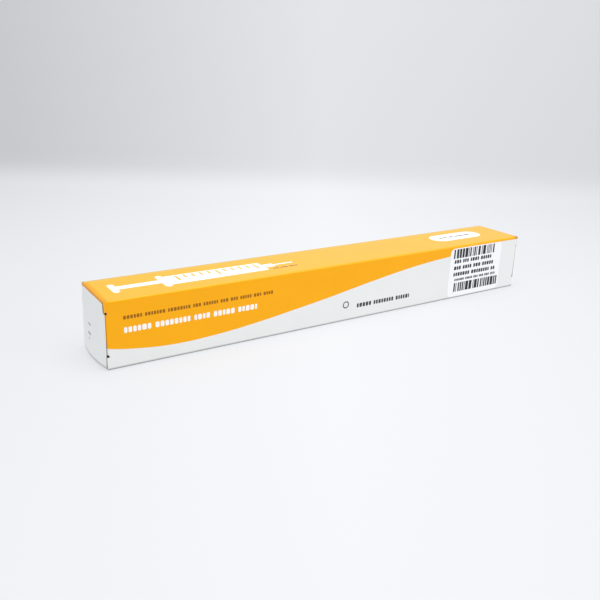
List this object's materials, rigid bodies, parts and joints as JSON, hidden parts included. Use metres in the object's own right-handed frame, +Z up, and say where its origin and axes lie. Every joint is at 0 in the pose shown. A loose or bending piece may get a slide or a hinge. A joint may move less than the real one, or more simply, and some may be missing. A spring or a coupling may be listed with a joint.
{
  "type": "tuck end folding carton",
  "caption": "Long square paperboard carton for a laboratory syringe, with tucked end closures that swing open and a label on its front.",
  "frame": {"origin": "middle of the carton's base, on the surface that it stands on", "axes": "+X along the carton towards the labelled end, -Y out of the printed front, +Z up"},
  "size_m": [0.2242, 0.0275, 0.0274],
  "materials": {
    "printed_board": "satin",
    "white_board": "satin",
    "label_paper": "matte"
  },
  "bodies": {
    "carton": {"carton_body": "printed_board", "barcode_label": "label_paper"},
    "left_closure": {"left_closure_flap": "white_board"},
    "right_closure": {"right_closure_flap": "white_board"}
  },
  "joints": [
    {"name": "left_closure_hinge", "type": "hinge", "parent": "carton", "child": "left_closure", "pos_m": [-0.10998, 0, 0.02708], "axis": [0, 1, 0], "range_deg": [0, 180]},
    {"name": "right_closure_hinge", "type": "hinge", "parent": "carton", "child": "right_closure", "pos_m": [0.10998, 0, 0.02708], "axis": [0, -1, 0], "range_deg": [0, 180]}
  ]
}
